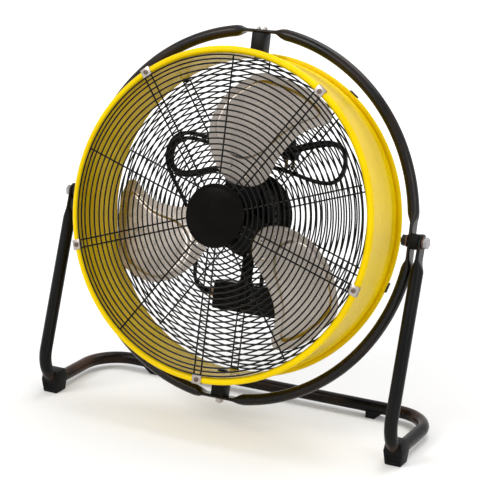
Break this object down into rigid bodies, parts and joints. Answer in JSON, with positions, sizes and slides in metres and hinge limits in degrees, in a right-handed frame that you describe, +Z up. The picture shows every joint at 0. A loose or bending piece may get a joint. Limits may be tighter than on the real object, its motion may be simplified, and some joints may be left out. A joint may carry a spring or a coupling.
{
  "type": "drum fan",
  "caption": "Floor-standing drum fan: short round drum with wire guards and blades inside a tube hoop that tilts on a bent-tube stand, switch box and cord at the back.",
  "frame": {"origin": "on the floor, under the middle of the fan's width and of its depth without the cord", "axes": "+X to the right seen from the front, +Y to the rear, +Z up; the fan blows towards -Y"},
  "size_m": [0.697, 0.2636, 0.6653],
  "materials": {
    "yellow_sheet": "gloss yellow enamel",
    "black_tube": "satin black powder coat",
    "black_sheet": "satin black powder coat",
    "black_wire": "satin black powder coat",
    "black_motor": "matt black paint",
    "black_hub": "matt black paint",
    "black_cap": "satin moulded",
    "black_plastic": "fine grain moulded",
    "blade": "mill finish, slightly brushed",
    "rivet": "plain",
    "zinc": "bright zinc plate",
    "bearing_steel": "ground",
    "lamination": "plain stacked sheet",
    "rotor_aluminium": "turned",
    "copper": "enamelled wire",
    "capacitor_plastic": "plain moulded",
    "switch_plastic": "plain moulded",
    "brass": "bright",
    "cord": "smooth sheath"
  },
  "bodies": {
    "stand": {"stand_frame": "black_tube", "front_foot_left": "black_plastic", "front_foot_right": "black_plastic", "rear_foot_left": "black_plastic", "rear_foot_right": "black_plastic", "pivot_bolts": "zinc", "pivot_nuts": "zinc", "pivot_washers": "zinc", "pivot_spacers": "black_plastic"},
    "head": {"hoop_frame": "black_tube", "top_bracket": "black_sheet", "bottom_bracket": "black_sheet", "bracket_bolts": "zinc", "bracket_nuts": "zinc", "drum_bolts": "zinc", "drum_nuts": "zinc", "drum_shell": "yellow_sheet", "front_guard_rings": "black_wire", "front_guard_spokes": "black_wire", "front_guard_clips": "zinc", "front_clip_screws": "zinc", "front_cap": "black_cap", "rear_guard_rings": "black_wire", "rear_guard_spokes": "black_wire", "rear_guard_clips": "black_sheet", "rear_clip_screws": "zinc", "motor_plate": "black_sheet", "motor_housing": "black_motor", "motor_front_cover": "black_motor", "motor_bearings": "bearing_steel", "stator_core": "lamination", "stator_windings": "copper", "motor_bolts": "zinc", "box_strap": "black_sheet", "strap_screws": "zinc", "switch_box": "black_sheet", "switch_box_lid": "black_sheet", "lid_screws": "zinc", "capacitor": "capacitor_plastic", "rotary_switch": "switch_plastic", "cable_gland": "brass", "motor_lead": "cord", "cord_lead": "cord", "cord_hank": "cord", "cord_tie": "black_plastic", "plug_body": "cord", "plug_pins": "brass"},
    "impeller": {"motor_shaft": "bearing_steel", "rotor": "rotor_aluminium", "shaft_sleeves": "bearing_steel", "impeller_spider": "black_hub", "blade_1": "blade", "blade_2": "blade", "blade_3": "blade", "blade_rivets": "rivet", "hub_nut": "zinc"},
    "speed_knob": {"speed_knob": "black_plastic"}
  },
  "joints": [
    {"name": "head_tilt", "type": "hinge", "parent": "stand", "child": "head", "pos_m": [0, 0.01747, 0.354], "axis": [1, 0, 0], "continuous": true},
    {"name": "impeller_spin", "type": "hinge", "parent": "head", "child": "impeller", "pos_m": [0, 0.01747, 0.354], "axis": [0, -0.9761, 0.2173], "continuous": true},
    {"name": "speed_select", "type": "hinge", "parent": "head", "child": "speed_knob", "pos_m": [0.03, 0.08141, 0.19019], "axis": [0, 0.9761, -0.2173], "range_deg": [0, 135]}
  ]
}
